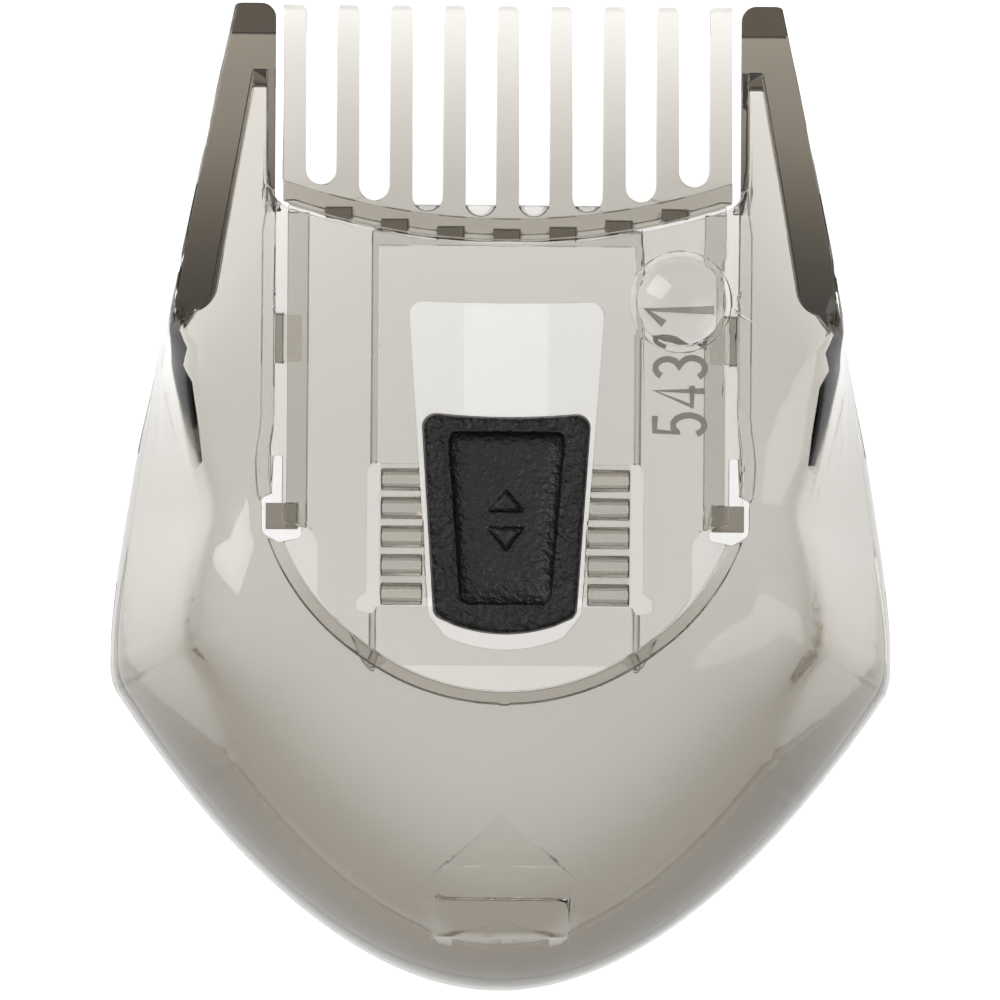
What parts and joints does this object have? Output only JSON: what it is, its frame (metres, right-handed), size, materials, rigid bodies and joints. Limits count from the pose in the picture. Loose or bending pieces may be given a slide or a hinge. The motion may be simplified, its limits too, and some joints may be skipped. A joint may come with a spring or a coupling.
{
  "type": "clipper guard comb",
  "caption": "Smoked hood with side arms and an adjustable comb behind it, set by a thumb button on a sprung latch, with a lens over the setting number.",
  "frame": {"origin": "centre of the bounding box in X and Y, on the plane of the hood's rear rim", "axes": "+X to the side of the number lens, +Y along the teeth towards their tips, +Z out of the front plate"},
  "size_m": [0.0522, 0.0656, 0.0175],
  "materials": {
    "smoked_plastic": "polished smoked transparent plastic",
    "black_plastic": "fine grained black plastic",
    "lens_plastic": "polished clear plastic"
  },
  "bodies": {
    "hood": {"guard_hood": "smoked_plastic", "number_lens": "lens_plastic"},
    "comb": {"comb_slider": "smoked_plastic"},
    "latch": {"latch_tongue": "smoked_plastic", "thumb_button": "black_plastic"}
  },
  "joints": [
    {"name": "comb_slide", "type": "slide", "parent": "hood", "child": "comb", "axis": [0, 1, 0], "range_m": [0, 0.00756]},
    {"name": "latch_press", "type": "hinge", "parent": "comb", "child": "latch", "pos_m": [0, 0.0025, 0.0126], "axis": [1, 0, 0], "range_deg": [0, 5], "stiffness_Nm_per_rad": 0.25}
  ]
}
